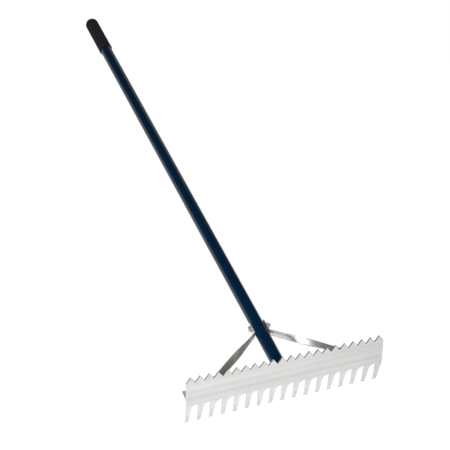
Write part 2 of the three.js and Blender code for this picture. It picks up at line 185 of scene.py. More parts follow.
class RakeBraceSizes(bpy.types.PropertyGroup):
    """Sizes of the two twisted braces"""

    width: length("Width", 16, "Width of the strap")
    thickness: length("Thickness", 2.5, "Thickness of the strap")
    bend_radius: length("Bend radius", 8, "Radius of the bend at the tube, to the strap's middle")
    bolt_distance: length("Bolt distance", 167.5, "From the blade's front to the cross bolt")
    tab_tail: length("Tab tail", 13, "From the cross bolt back to the strap's end")
    tab_heel: length("Tab heel", 17, "From the cross bolt forward to the bend")
    foot_margin: length("Foot margin", 56.6, "From the blade's end to the foot's bolt")
    foot_tail: length("Foot tail", 7, "From the foot's bolt to the strap's end")
    twist_start: share("Twist start", 0.04, "Share of the run at which the twist starts")
    twist_end: share("Twist end", 0.74, "Share of the run at which the twist ends")
    edge_round: length("Edge rounding", 0.5, "Rounding of the strap's rolled edges")


class RakeFastenerSizes(bpy.types.PropertyGroup):
    """Sizes of the bolts, nuts and washers"""

    shank: length("Bolt diameter", 6.35, "Diameter of the bolts")
    across_flats: length("Across flats", 11.1, "Width of the hexagons across their flats")
    head_height: length("Head height", 4.4, "Height of a bolt's head")
    nut_height: length("Nut height", 5.6, "Height of a nut")
    chamfer: length("Chamfer", 0.7, "Height of the chamfer on a hexagon's corners")
    thread_end: length("Thread end", 3.4, "Length of thread that stands out of a nut")
    thread_pitch: length("Thread pitch", 1.27, "Distance from thread to thread")
    thread_depth: length("Thread depth", 0.55, "Depth of the thread")
    thread_long: length("Thread length", 19, "Length of the threaded part of a bolt")
    clearance: length("Clearance", 0.4, "Gap between a bolt and the hole that it passes")
    washer: length("Washer diameter", 15.8, "Outer diameter of the washers")
    washer_thickness: length("Washer thickness", 1.3, "Thickness of the washers")


class RakeFinishes(bpy.types.PropertyGroup):
    """Colours of the finishes"""

    aluminium: colour("Head aluminium", (0.70, 0.70, 0.69), "Extruded and punched aluminium of the head")
    coat: colour("Handle coat", (0.0006, 0.0155, 0.043), "Dark navy coat of the tube")
    vinyl: colour("Grip vinyl", (0.0175, 0.018, 0.0195), "Black moulded grip")
    strap: colour("Brace aluminium", (0.80, 0.815, 0.83), "Rolled strap of the braces")
    zinc: colour("Zinc plate", (0.52, 0.58, 0.64), "Bright plating of bolts, nuts and washers")
    wood: colour("Plug wood", (0.46, 0.29, 0.12), "Turned wooden plug")


class RakeStageSettings(bpy.types.PropertyGroup):
    """Floor, light and camera"""

    floor_size: length("Floor size", 30000, "Side of the floor")
    floor_colour: colour("Floor colour", (0.93, 0.93, 0.93), "Plain pale floor")
    floor_glow: real("Floor glow", 1.1, "Brightness of the floor to the camera")
    mirrored_left: real("Mirrored left", 1.08, "Brightness of the floor's left part in gloss and metal")
    # Painted shade: the floor's right part is dark in gloss and metal
    mirrored_right: real("Mirrored right", 0.12, "Brightness of the floor's right part in gloss and metal")
    mirror_share: share("Mirror share", 0.6, "How far the floor that gloss and metal show glows by itself")
    horizon: real("Horizon", 0.3, "Strength of the sky at the horizon")
    middle: real("Middle", 0.045, "Strength of the sky half way up")
    zenith: real("Zenith", 0.008, "Strength of the sky overhead")
    front: real("Front", 0.35, "Strength of the front sky's image in metal")
    softbox: real("Softbox", 2.4, "Strength of the key's soft image in metal")
    key_power: power("Key light", 128, "Power of the large key light")
    fill_power: power("Fill light", 45, "Power of the fill light")
    glow_power: power("Glow", 1.6, "Power of the dim panel behind the grip")
    focal_length: real("Focal length", 121.229, "Lens of the camera", unit="CAMERA")


# Meshes


def new_object(name, data, *materials):
    """Puts a mesh, a curve, a lamp or a camera into the scene, with its materials."""
    for material in materials:
        data.materials.append(material)
    piece = bpy.data.objects.new(name, data)
    bpy.context.scene.collection.objects.link(piece)
    return piece


def mesh_of(name, points, faces):
    """A mesh of these points and faces."""
    mesh = bpy.data.meshes.new(name)
    mesh.from_pydata([tuple(p) for p in points], [], faces)
    mesh.update()
    return mesh


def arc(centre, radius, start, end, steps):
    """Points of the plane on an arc, both ends included."""
    return [
        Vector((centre[0] + radius * math.cos(a), centre[1] + radius * math.sin(a)))
        for a in np.linspace(start, end, steps + 1)
    ]


def prism_mesh(name, outline, depth, place):
    """A flat outline pushed to a depth; place turns (u, v, w) into a point, with w across the depth."""
    half = depth / 2
    total = len(outline)
    points = [place(u, v, w) for w in (-half, half) for u, v in outline]
    faces = [list(range(total))[::-1], list(range(total, 2 * total))]
    for i in range(total):
        j = (i + 1) % total
        faces.append([i, j, total + j, total + i])
    mesh = mesh_of(name, points, faces)
    point_outwards(mesh)
    return mesh


def lathe_mesh(name, profile, sides, closed=False):
    """A profile of (radius, along) turned about the Y axis; a point on the axis becomes a pole."""
    points, rings = [], []
    for radius, along in profile:
        if radius < MERGE_DISTANCE:
            rings.append([len(points)])
            points.append((0, along, 0))
            continue
        rings.append(list(range(len(points), len(points) + sides)))
        for i in range(sides):
            a = TURN * i / sides
            points.append((radius * math.cos(a), along, radius * math.sin(a)))
    pairs = list(zip(rings, rings[1:])) + ([(rings[-1], rings[0])] if closed else [])
    faces = []
    for low, high in pairs:
        for i in range(sides):
            j = (i + 1) % sides
            corners = [low[i % len(low)], low[j % len(low)], high[j % len(high)], high[i % len(high)]]
            faces.append(list(dict.fromkeys(corners)))
    mesh = mesh_of(name, points, faces)
    point_outwards(mesh)
    return mesh


def bar_mesh(radius, long, axis, centre):
    """A round bar about a centre, along an axis."""
    profile = [(0, -long / 2), (radius, -long / 2), (radius, long / 2), (0, long / 2)]
    mesh = lathe_mesh("bar", profile, SMALL_ROUND_SIDES)
    turn = Vector((0, 1, 0)).rotation_difference(Vector(axis)).to_matrix().to_4x4()
    mesh.transform(Matrix.Translation(centre) @ turn)
    return mesh


def point_outwards(mesh):
    """Merges a mesh's doubles and points its faces outwards."""
    form = bmesh.new()
    form.from_mesh(mesh)
    bmesh.ops.remove_doubles(form, verts=form.verts, dist=MERGE_DISTANCE)
    bmesh.ops.recalc_face_normals(form, faces=form.faces)
    form.to_mesh(mesh)
    form.free()


def apply_modifiers(piece):
    """Gives a piece the mesh that its modifiers make, and removes them."""
    graph = bpy.context.evaluated_depsgraph_get()
    graph.update()
    shown = piece.evaluated_get(graph)
    mesh = bpy.data.meshes.new_from_object(shown, preserve_all_data_layers=True, depsgraph=graph)
    piece.modifiers.clear()
    piece.data = mesh


def remove(helpers):
    """Takes helper objects out of the scene."""
    for helper in helpers:
        bpy.data.objects.remove(helper)


def cut(piece, *cutters):
    """Cuts other meshes out of a piece."""
    helpers = [new_object("cutter", mesh) for mesh in cutters]
    for helper in helpers:
        modifier = piece.modifiers.new("Cut", "BOOLEAN")
        modifier.object = helper
        modifier.operation = "DIFFERENCE"
        modifier.solver = "EXACT"
    apply_modifiers(piece)
    remove(helpers)


def settle(piece, matrix, node, sharp=TURNED_SHARP):
    """Places a finished piece in its mesh, smooths what is round and puts the piece in its node's stead."""
    mesh = piece.data
    if not mesh.polygons:
        raise RuntimeError(f"{piece.name} came out empty")
    mesh.transform(matrix)
    point_outwards(mesh)
    mesh.shade_smooth()
    mesh.set_sharp_from_angle(angle=sharp)
    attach(piece, BODY)
    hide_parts(node)


# Nodes, for materials and for geometry


class Socket:
    """An output of a tree; Python's operators on it add Math nodes."""

    def __init__(self, tree, link):
        self.tree = tree
        self.link = link

    def math(self, operation, *others):
        inputs = dict(enumerate((self, *others)))
        return self.tree.add("ShaderNodeMath", {"operation": operation}, inputs)[0]

    def __add__(self, other):
        return self.math("ADD", other)

    def __mul__(self, other):
        return self.math("MULTIPLY", other)

    def __sub__(self, other):
        return self.math("SUBTRACT", other)

    def __rsub__(self, other):
        return (self * -1) + other

    def __truediv__(self, other):
        return self.math("DIVIDE", other)

    def __pow__(self, other):
        return self.math("POWER", other)

    __radd__ = __add__
    __rmul__ = __mul__

    def clamped(self):
        return self.math("MAXIMUM", 0).math("MINIMUM", 1)

    def band(self, low, high):
        """0 below low, 1 above high and smooth between them."""
        inputs = {"Value": self, "From Min": low, "From Max": high}
        return self.tree.add("ShaderNodeMapRange", {"interpolation_type": "SMOOTHSTEP"}, inputs)[0]


def emptied(owner):
    """The node tree of a material or a world, with nothing in it."""
    owner.use_nodes = True
    owner.node_tree.nodes.clear()
    return owner.node_tree


class Tree:
    """Adds nodes to one node tree."""

    def __init__(self, nodes):
        self.nodes = nodes

    def add(self, kind, settings=None, inputs=None):
        """A new node: its settings are set first and its sockets filled next. Gives its outputs."""
        node = self.nodes.nodes.new(kind)
        for name, value in (settings or {}).items():
            setattr(node, name, value)
        for key, value in (inputs or {}).items():
            self.fill(self.input_of(node, key), value)
        return [Socket(self, output) for output in node.outputs if output.enabled]

    def outputs(self, kind, *names, **settings):
        """A new node's outputs of these names."""
        found = {socket.link.name: socket for socket in self.add(kind, settings)}
        return [found[name] for name in names]

    @staticmethod
    def input_of(node, key):
        """A node's input, by its number or by its name, whose capitals may differ."""
        enabled = [s for s in node.inputs if s.enabled]
        if isinstance(key, int):
            return enabled[key]
        return next(s for s in enabled if key.lower() in (s.name.lower(), s.identifier.lower()))

    def fill(self, socket, value):
        """Links an input to one or more outputs, or sets its value."""
        if isinstance(value, Socket):
            value = [value]
        if isinstance(value, list):
            for one in value:
                self.nodes.links.new(one.link, socket)
        else:
            socket.default_value = value

    def xyz(self, vector):
        return self.add("ShaderNodeSeparateXYZ", inputs={"Vector": vector})

    def vector(self, x, y, z):
        return self.add("ShaderNodeCombineXYZ", inputs={"X": x, "Y": y, "Z": z})[0]


class Finish(Tree):
    """A material's tree, with the textures that the finishes share."""

    def __init__(self, name, turn=(0, 0, 0), centre=(0, 0, 0)):
        self.material = bpy.data.materials.new(name)
        super().__init__(emptied(self.material))
        spot = self.outputs("ShaderNodeTexCoord", "Object")[0]
        moved = self.add("ShaderNodeVectorMath", {"operation": "SUBTRACT"}, {0: spot, 1: centre})[0]
        inputs = {"Vector": moved, "Rotation": turn}
        self.spot = self.add("ShaderNodeMapping", {"vector_type": "POINT"}, inputs)[0]

    def stretched(self, scales, vector=None):
        inputs = {0: vector or self.spot, 1: scales}
        return self.add("ShaderNodeVectorMath", {"operation": "MULTIPLY"}, inputs)[0]

    def noise(self, scales, detail, roughness, vector=None):
        inputs = {"Vector": self.stretched(scales, vector), "Scale": 1, "Detail": detail}
        inputs["Roughness"] = roughness
        return self.add("ShaderNodeTexNoise", {"noise_dimensions": "3D"}, inputs)[0]

    def cells(self, scales, settings=None):
        inputs = {"Vector": self.stretched(scales), "Scale": 1}
        return self.add("ShaderNodeTexVoronoi", settings or {}, inputs)[0]

    def mix(self, factor, low, high):
        """A colour between two colours."""
        inputs = {"Factor": factor, "A": self.tone(low), "B": self.tone(high)}
        return self.add("ShaderNodeMix", {"data_type": "RGBA"}, inputs)[0]

    @staticmethod
    def tone(value):
        return value if isinstance(value, Socket) else (*value, 1)

    def bump(self, height, distance, strength):
        inputs = {"Height": height, "Distance": distance, "Strength": strength}
        return self.add("ShaderNodeBump", inputs=inputs)[0]

    def wall_share(self):
        """1 on punched walls and sawn ends, which face along the head, and 0 on what was extruded."""
        across = self.xyz(self.outputs("ShaderNodeNewGeometry", "True Normal")[0])[0]
        return (across.math("ABSOLUTE") * WALL_GAIN).clamped()

    def done(self, **sockets):
        """Ends the tree in a shader with these inputs, and gives the material."""
        inputs = {key.replace("_", " ").title(): value for key, value in sockets.items()}
        shader = self.add("ShaderNodeBsdfPrincipled", inputs=inputs)[0]
        self.add("ShaderNodeOutputMaterial", inputs={"Surface": shader})
        return self.material


def dimmed(tone, by):
    """A colour times a factor."""
    return tuple(c * by for c in tone)


# Patterns of the finishes: their cells in a metre along X, Y and Z, their detail and their roughness. Each
# finish adds them up by shares and starts them between two of their values, with band
HEAD_LINES = ((1.5, 900, 900), 4, 0.6)
HEAD_BANDS = ((0.8, 60, 75), 2, 0.5)
HEAD_CLOUD = ((9, 14, 14), 3, 0.55)
HEAD_GRAIN = ((2600, 2600, 2600), 2, 0.6)
HEAD_SHEAR = ((500, 60, 500), 3, 0.6)
COAT_PEEL = ((1100, 1100, 1100), 2, 0.5)
COAT_CLOUD = ((40, 6, 40), 3, 0.6)
COAT_RUBS = ((900, 25, 900), 2, 0.6)
VINYL_GRAIN = ((2400, 2400, 2400), 2, 0.6)
VINYL_BLOOM = ((60, 18, 60), 4, 0.6)
VINYL_SCUFF = ((500, 40, 500), 3, 0.7)
STRAP_LINES = ((9, 420, 1), 4, 0.6)
STRAP_BLOTCH = ((55, 9, 1), 4, 0.6)
STRAP_GRAIN = ((1900, 1900, 1900), 2, 0.6)
ZINC_TINT = ((260, 260, 260), 3, 0.6)
ZINC_SPOTS = ((1300, 1300, 1300), 3, 0.65)
WOOD_WANDER = ((30, 6, 30), 3, 0.5)
WOOD_PORES = ((2600, 90, 2600), 3, 0.7)

# Patterns of round cells: their number in a metre
COAT_SPECKS = (420, 420, 420)
VINYL_PEBBLE = (900, 900, 900)

# Relief of the finishes: its height and its strength
HEAD_RELIEF = (0.02 * MM, 0.6)
COAT_RELIEF = (0.025 * MM, 0.35)
VINYL_RELIEF = (0.03 * MM, 0.5)
STRAP_RELIEF = (0.015 * MM, 0.4)
ZINC_RELIEF = (0.02 * MM, 0.4)
WOOD_RELIEF = (0.05 * MM, 0.5)

# Colours of painted shade on the saw walls and the flange's end, of worn coat, of painted shade at the
# braces' feet, of stains, and of sheared edges, which darken with that shade towards the feet, and what turns
# a tone into straw
SHADED_WALL_LOW, SHADED_WALL_HIGH = (0.2, 0.19, 0.17), (0.36, 0.345, 0.32)
WORN_COAT = (0.09, 0.11, 0.14)
LEFT_FOOT_SHADE, RIGHT_FOOT_SHADE = (0.215, 0.208, 0.185), (0.42, 0.405, 0.38)
STAIN = (0.16, 0.14, 0.115)
SHEARED_BRIGHT, SHEARED_SHADED = (0.62, 0.54, 0.44), (0.3, 0.25, 0.2)
STRAW_TINT = (1.2, 1.02, 0.8)

# How quickly a face counts as a wall when it turns towards the head's ends
WALL_GAIN = 6

# The head's marks, with painted shade on the groove, the saw walls and the flange's end, by their height over
# the crease and their depth behind the blade's front
GROOVE_HEIGHT = 17 * MM
GROOVE_EDGE = (0.25 * MM, 0.9 * MM)
SAW_WALLS = (58 * MM, 62 * MM)
FLANGE_END_DEPTH = (4 * MM, 8 * MM)
FLANGE_END_HEIGHT = (0, 5 * MM)


def head_finish(tone):
    """Extruded aluminium: faint lines along the head, fine matte grain, brighter sheared walls, and painted
    shade in a groove, on the saw teeth's walls and on the flange's end.
    """
    look = Finish("extruded_aluminium", (REST_TILT, 0, 0), CREASE_PLACE)
    _, depth, height = look.xyz(look.spot)
    lines = look.noise(*HEAD_LINES)
    bands = look.noise(*HEAD_BANDS)
    cloud = look.noise(*HEAD_CLOUD)
    grain = look.noise(*HEAD_GRAIN)
    wall = look.wall_share()
    shear = look.noise(*HEAD_SHEAR)
    streaks = (lines * 0.4 + bands * 0.45 + cloud * 0.15).band(0.34, 0.66)
    face = look.mix(streaks, dimmed(tone, 0.86), dimmed(tone, 1.1))
    # Painted shade: the colour darkens along the groove, which is drawn only as relief
    groove = 1 - (height - GROOVE_HEIGHT).math("ABSOLUTE").band(*GROOVE_EDGE)
    face = look.mix(groove * 0.5, face, dimmed(tone, 0.72))
    side = look.mix(shear, dimmed(tone, 0.98), dimmed(tone, 1.22))
    # Painted shade: the flange's end behind the blade and the saw teeth's walls are coloured dark
    shaded_flange_end = depth.band(*FLANGE_END_DEPTH) * height.band(*FLANGE_END_HEIGHT)
    painted_wall_shade = height.band(*SAW_WALLS).math("MAXIMUM", shaded_flange_end)
    side = look.mix(painted_wall_shade, side, look.mix(shear, SHADED_WALL_LOW, SHADED_WALL_HIGH))
    relief = lines * 0.5 + grain * 0.3 + bands * 0.6 - groove * 0.8
    return look.done(
        base_color=look.mix(wall, face, side),
        metallic=(0.55 + wall * 0.35),
        roughness=(0.44 + lines * 0.1 + cloud * 0.08 - wall * 0.2),
        normal=look.bump(relief, *HEAD_RELIEF),
    )


def coat_finish(tone, turn, centre):
    """Navy powder coat: fine orange-peel relief under a soft gloss, with faint dust and rubs."""
    look = Finish("navy_coat", turn, centre)
    peel = look.noise(*COAT_PEEL)
    cloud = look.noise(*COAT_CLOUD)
    rubs = look.noise(*COAT_RUBS).band(0.68, 0.8)
    specks = 1 - look.cells(COAT_SPECKS).band(0.06, 0.12)
    shade = look.mix(cloud, dimmed(tone, 0.86), dimmed(tone, 1.15))
    worn = look.mix(rubs * 0.15 + specks * 0.04, shade, WORN_COAT)
    return look.done(
        base_color=worn,
        metallic=0.0,
        specular_ior_level=0.38,
        roughness=(0.11 + cloud * 0.05 + rubs * 0.2),
        normal=look.bump(peel, *COAT_RELIEF),
    )


def vinyl_finish(tone, turn, centre):
    """Black moulded vinyl: fine pebble, slight bloom, and a smoother polish where hands rub."""
    look = Finish("black_vinyl", turn, centre)
    pebble = look.cells(VINYL_PEBBLE, {"feature": "SMOOTH_F1"})
    grain = look.noise(*VINYL_GRAIN)
    bloom = look.noise(*VINYL_BLOOM)
    scuff = look.noise(*VINYL_SCUFF).band(0.62, 0.78)
    shade = look.mix(bloom, dimmed(tone, 0.8), dimmed(tone, 1.3))
    return look.done(
        base_color=look.mix(scuff * 0.3, shade, dimmed(tone, 2.2)),
        roughness=(0.74 + bloom * 0.12 - scuff * 0.1),
        specular_ior_level=0.12,
        normal=look.bump(pebble * 0.7 + grain * 0.3, *VINYL_RELIEF),
    )


# The strap's marks: its sheared edges by their place around the section, its sides by the distance from the
# middle of the rake, and where painted shade darkens it and it turns dull, by the way from the tab's end,
# with what the right one has more
STRAP_EDGES = (1.15 * MM, 19.1 * MM)
STRAP_EDGE = (0.9 * MM, 1.5 * MM)
LEFT_TO_RIGHT = (-50 * MM, 50 * MM)
SHADED_DULL_START, SHADED_DULL_START_MORE = 15 * MM, 60 * MM
SHADED_DULL_LENGTH, SHADED_DULL_LENGTH_MORE = 45 * MM, 70 * MM


def strap_finish(tone):
    """Rolled strap: drawn lines along it, painted shade towards the foot where it also turns rougher and less
    metallic, stains and sheared edges.
    """
    look = Finish("rolled_strap")
    along = look.outputs("ShaderNodeAttribute", "Fac", attribute_name="along")[0]
    across = look.outputs("ShaderNodeAttribute", "Fac", attribute_name="across")[0]
    path = look.vector(along, across, 0)
    lines = look.noise(*STRAP_LINES, path)
    blotch = look.noise(*STRAP_BLOTCH, path)
    grain = look.noise(*STRAP_GRAIN)
    right = look.xyz(look.spot)[0].band(*LEFT_TO_RIGHT)
    # Painted shade: from here the strap darkens towards its foot, sooner on the left brace, and there it also
    # turns rougher and less metallic
    past_start = along - SHADED_DULL_START - right * SHADED_DULL_START_MORE
    shade_and_dulling = (past_start / (SHADED_DULL_LENGTH + right * SHADED_DULL_LENGTH_MORE)).band(0, 1)
    first, second = ((across - place).math("ABSOLUTE") for place in STRAP_EDGES)
    sheared = 1 - first.math("MINIMUM", second).band(*STRAP_EDGE)
    # Painted shade: the left brace's tones are darker than the right one's
    low = look.mix(right, dimmed(tone, 0.8), dimmed(tone, 0.86))
    high = look.mix(right, tone, dimmed(tone, 1.12))
    shade = look.mix(lines * 0.6 + blotch * 0.4, low, high)
    # The foot's colours are painted shade, darker on the left brace
    painted_foot_shade = look.mix(right, LEFT_FOOT_SHADE, RIGHT_FOOT_SHADE)
    shade = look.mix(shade_and_dulling * (0.7 + lines * 0.3), shade, painted_foot_shade)
    stain = blotch.band(0.56, 0.72) * (0.12 + shade_and_dulling * 0.25)
    shade = look.mix(stain, shade, STAIN)
    # The sheared edges darken towards the foot with the same painted shade
    bare = look.mix(shade_and_dulling, SHEARED_BRIGHT, SHEARED_SHADED)
    return look.done(
        base_color=look.mix(sheared * 0.8, shade, bare),
        metallic=(0.94 - shade_and_dulling * 0.34 - sheared * 0.4),
        roughness=(0.27 + lines * 0.08 + shade_and_dulling * 0.14 + stain * 0.25 + sheared * 0.15),
        normal=look.bump(lines * 0.7 + grain * 0.3, *STRAP_RELIEF),
    )


def zinc_finish(tone):
    """Bright zinc plate with a faint blue and straw tint and dull spots."""
    look = Finish("zinc_plate")
    tint = look.noise(*ZINC_TINT)
    spots = look.noise(*ZINC_SPOTS)
    straw = tuple(min(part * by, 1) for part, by in zip(tone, STRAW_TINT))
    shade = look.mix(tint.band(0.35, 0.7), tone, straw)
    dull = spots.band(0.5, 0.75)
    return look.done(
        base_color=look.mix(dull * 0.25, shade, dimmed(tone, 0.45)),
        metallic=0.94,
        roughness=(0.14 + tint * 0.1 + dull * 0.2),
        normal=look.bump(spots * 0.6 + tint * 0.4, *ZINC_RELIEF),
    )


# The wood's growth rings lie about a line beside the handle's axis; the rates are radians per metre
WOOD_HEART = (-20 * MM, -12 * MM)
RING_RATE = 3200
CUTTER_RATE = 5200


def wood_finish(tone, turn, centre):
    """Turned hardwood: growth rings, open pores along the grain and cutter marks."""
    look = Finish("turned_wood", turn, centre)
    wander = look.noise(*WOOD_WANDER)
    x, y, z = look.xyz(look.spot)
    reach = ((x - WOOD_HEART[0]) ** 2 + (z - WOOD_HEART[1]) ** 2) ** 0.5
    rings = (reach * RING_RATE + wander * 9).math("SINE") * 0.5 + 0.5
    pores = look.noise(*WOOD_PORES).band(0.55, 0.7)
    shade = look.mix(rings, dimmed(tone, 0.72), tone)
    marks = (y * CUTTER_RATE).math("SINE")
    return look.done(
        base_color=look.mix(pores * 0.6, shade, dimmed(tone, 0.4)),
        roughness=(0.62 + pores * 0.2),
        normal=look.bump(rings * 0.3 - pores * 0.6 + marks * 0.15, *WOOD_RELIEF),
    )


class Shape(Tree):
    """A geometry tree with named inputs, which ends in Realize Instances and Set Material."""

    def __init__(self, name):
        super().__init__(bpy.data.node_groups.new(name, "GeometryNodeTree"))
        self.face = self.nodes.interface
        self.face.new_socket("Geometry", in_out="OUTPUT", socket_type="NodeSocketGeometry")
        self.face.new_socket("Geometry", in_out="INPUT", socket_type="NodeSocketGeometry")
        self.values = {}
        self.group = None

    def inputs(self, values):
        """Adds named inputs for whole numbers, lengths, objects and materials, and gives them in order."""
        kinds = {int: "Int", float: "Float", bpy.types.Object: "Object", bpy.types.Material: "Material"}
        for name, value in values.items():
            kind = next(k for t, k in kinds.items() if isinstance(value, t))
            self.face.new_socket(name, in_out="INPUT", socket_type="NodeSocket" + kind)
            self.values[name] = value
        self.group = self.nodes.nodes.new("NodeGroupInput")
        return [Socket(self, self.group.outputs[name]) for name in values]

    def base(self):
        """The mesh of the piece that the tree runs on."""
        return Socket(self, self.group.outputs["Geometry"])

    def form_of(self, item):
        """The mesh or the curve of an object."""
        return self.add("GeometryNodeObjectInfo", inputs={"Object": item})[-1]

    def row(self, number, start, step, item):
        """Copies of an object in a row along X."""
        places = {"Start Location": self.vector(start, 0, 0), "Offset": self.vector(step, 0, 0)}
        points = self.add("GeometryNodeMeshLine", {"mode": "OFFSET"}, {"Count": number, **places})[0]
        inputs = {"Points": points, "Instance": self.form_of(item)}
        copies = self.add("GeometryNodeInstanceOnPoints", inputs=inputs)[0]
        return self.add("GeometryNodeRealizeInstances", inputs={"Geometry": copies})[0]

    def without(self, form, *cutters):
        """A form with others cut out of it, one after the other."""
        for cutter in cutters:
            settings = {"operation": "DIFFERENCE", "solver": "EXACT"}
            form = self.add("GeometryNodeMeshBoolean", settings, {"Mesh 1": form, "Mesh 2": cutter})[0]
        return form

    def apply_to(self, piece, form, material):
        """Ends the tree, runs it on a piece and keeps the mesh that it gives."""
        real = self.add("GeometryNodeRealizeInstances", inputs={"Geometry": form})[0]
        named = self.add("GeometryNodeSetMaterial", inputs={"Geometry": real, "Material": material})[0]
        self.add("NodeGroupOutput", inputs={"Geometry": named})
        modifier = piece.modifiers.new(self.nodes.name, "NODES")
        modifier.node_group = self.nodes
        for item in self.face.items_tree:
            if item.in_out == "INPUT" and item.name in self.values:
                modifier[item.identifier] = self.values[item.name]
        apply_modifiers(piece)


# Pieces


def handle_frame(sizes):
    """The frame of the handle: Y along its axis, away from the blade, and Z square to the flange."""
    return HEAD_FRAME @ Matrix.Translation((0, 0, sizes.height)) @ Matrix.Rotation(sizes.rise, 4, "X")


def flange_reach(head, handle):
    """From the blade's front to the flange's rear edge, along the handle."""
    return head.thickness / math.cos(handle.rise) + head.flange_depth


def bolt_row(head, handle):
    """From the blade's front to the flange's bolts, along the handle."""
    return flange_reach(head, handle) - head.bolt_margin


def foot_spread(sizes):
    """From the middle of the head to a foot's bolt."""
    return sizes.rake_head.long / 2 - sizes.rake_braces.foot_margin


def hole_radius(fasteners):
    """Half the width of every bolt's hole."""
    return fasteners.shank / 2 + fasteners.clearance


def head_section(head, handle):
    """The extruded section in the plane of Y and Z: blade, curled tine and flange."""
    down = Vector((math.sin(head.lean), -math.cos(head.lean)))
    back = Vector((math.cos(head.lean), math.sin(head.lean)))
    outer = head.curl_radius + head.thickness
    centre = down * head.straight + back * outer
    start = math.pi + head.lean
    end = start + head.curl
    half = head.flange_thickness / 2

    def on_handle(along, above):
        return Vector((0, handle.height)) + Matrix.Rotation(handle.rise, 2) @ Vector((along, above))

    def fillet(side):
        face = on_handle(0, side * half)
        middle = head.thickness + head.flange_fillet
        lift = side * head.flange_fillet + (middle - face.x) * math.sin(handle.rise)
        spot = (middle, face.y + lift / math.cos(handle.rise))
        return arc(spot, head.flange_fillet, handle.rise - side * QUARTER, -side * math.pi, CORNER_STEPS)

    top = head.blade_height + head.tooth_height
    reach = flange_reach(head, handle)
    return [
        Vector((0, top)),
        Vector((0, 0)),
        *arc(centre, outer, start, end, CURL_STEPS),
        *arc(centre, head.curl_radius, end, start, CURL_STEPS),
        Vector((head.thickness, head.thickness * math.tan(head.lean / 2))),
        *fillet(-1)[::-1],
        on_handle(reach, -half),
        on_handle(reach, half),
        *fillet(1),
        Vector((head.thickness, top)),
    ]


def saw_notch(head):
    """The outline between two teeth, about the middle of the valley."""
    pitch = head.long / head.tooth_count
    low = head.valley_flat / 2
    high = (pitch - head.peak_flat) / 2
    top = head.blade_height + head.tooth_height
    return [
        (-low, head.blade_height),
        (low, head.blade_height),
        (high, top),
        (high, top + CUT_OVERRUN),
        (-high, top + CUT_OVERRUN),
        (-high, top),
    ]


def tine_gap(head):
    """The outline between two tines, from the straight edge of the left one."""
    outer = head.curl_radius + head.thickness
    start = math.pi + head.lean
    tip = -head.straight * math.cos(head.lean) + outer * (math.sin(head.lean) + math.sin(start + head.curl))
    bottom = tip - CUT_OVERRUN
    corner = (head.tine_pitch - head.gap_corner, -head.gap_corner)
    fillet = (head.root_width + head.gap_fillet, -head.gap_fillet)
    return [
        (head.tine_pitch, bottom),
        *arc(corner, head.gap_corner, 0, QUARTER, CORNER_STEPS),
        *arc(fillet, head.gap_fillet, QUARTER, math.pi, FILLET_STEPS),
        (head.tip_width, tip),
        (head.tip_width, bottom),
    ]


def make_head(sizes, material):
    """The head: its section, cut by rows of saw notches, tine gaps and bolt holes, with rounded edges."""
    head, handle = sizes.rake_head, sizes.rake_handle

    def along_x(u, v, w):
        return (w, u, v)

    def along_y(u, v, w):
        return (u, w, v)

    section = prism_mesh("head", head_section(head, handle), head.long, along_x)
    piece = new_object("rake_head_detailed", section)
    depth = 2 * (flange_reach(head, handle) + CUT_OVERRUN)
    drill_long = head.flange_thickness + CUT_OVERRUN
    row = (0, bolt_row(head, handle), 0)
    drill = bar_mesh(hole_radius(sizes.rake_fasteners), drill_long, (0, 0, 1), row)
    drill.transform(HEAD_FRAME.inverted() @ handle_frame(handle))
    notch = new_object("saw_notch", prism_mesh("saw_notch", saw_notch(head), depth, along_y))
    gap = new_object("tine_gap", prism_mesh("tine_gap", tine_gap(head), depth, along_y))
    hole = new_object("bolt_hole", drill)
    shape = Shape("Punched head")
    values = shape.inputs(
        {
            "Notches": head.tooth_count + 1,
            "First notch": -head.long / 2,
            "Notch pitch": head.long / head.tooth_count,
            "Notch": notch,
            "Gaps": head.tine_count,
            "First gap": head.long / 2 - head.last_margin - (head.tine_count - 1) * head.tine_pitch,
            "Gap pitch": head.tine_pitch,
            "Gap": gap,
            "Holes": 3,
            "First hole": -foot_spread(sizes),
            "Hole pitch": foot_spread(sizes),
            "Hole": hole,
            "Material": material,
        }
    )
    rows = [shape.row(*values[first : first + 4]) for first in (0, 4, 8)]
    shape.apply_to(piece, shape.without(shape.base(), *rows), values[-1])
    remove((notch, gap, hole))
    round_punched_edges(piece, head)
    settle(piece, HEAD_FRAME, "rake_head", HEAD_SHARP)


def round_punched_edges(piece, head):
    """Rounds the sharp edges, except beside the crease, where the gaps run out to nothing."""
    low, high = CREASE_RANGE
    near = head.thickness * CREASE_SHARE
    form = bmesh.new()
    form.from_mesh(piece.data)
    weight = form.edges.layers.float.new("bevel_weight_edge")
    for edge in form.edges:
        sharp = len(edge.link_faces) == 2 and edge.calc_face_angle(0) > ROUNDED_FROM
        beside_crease = any(low < v.co.z < high and v.co.y < near for v in edge.verts)
        edge[weight] = 1.0 if sharp and not beside_crease else 0.0
    form.to_mesh(piece.data)
    form.free()
    modifier = piece.modifiers.new("Rounding", "BEVEL")
    modifier.limit_method = "WEIGHT"
    modifier.width = head.edge_round
    modifier.segments = 2
    modifier.use_clamp_overlap = False
    apply_modifiers(piece)


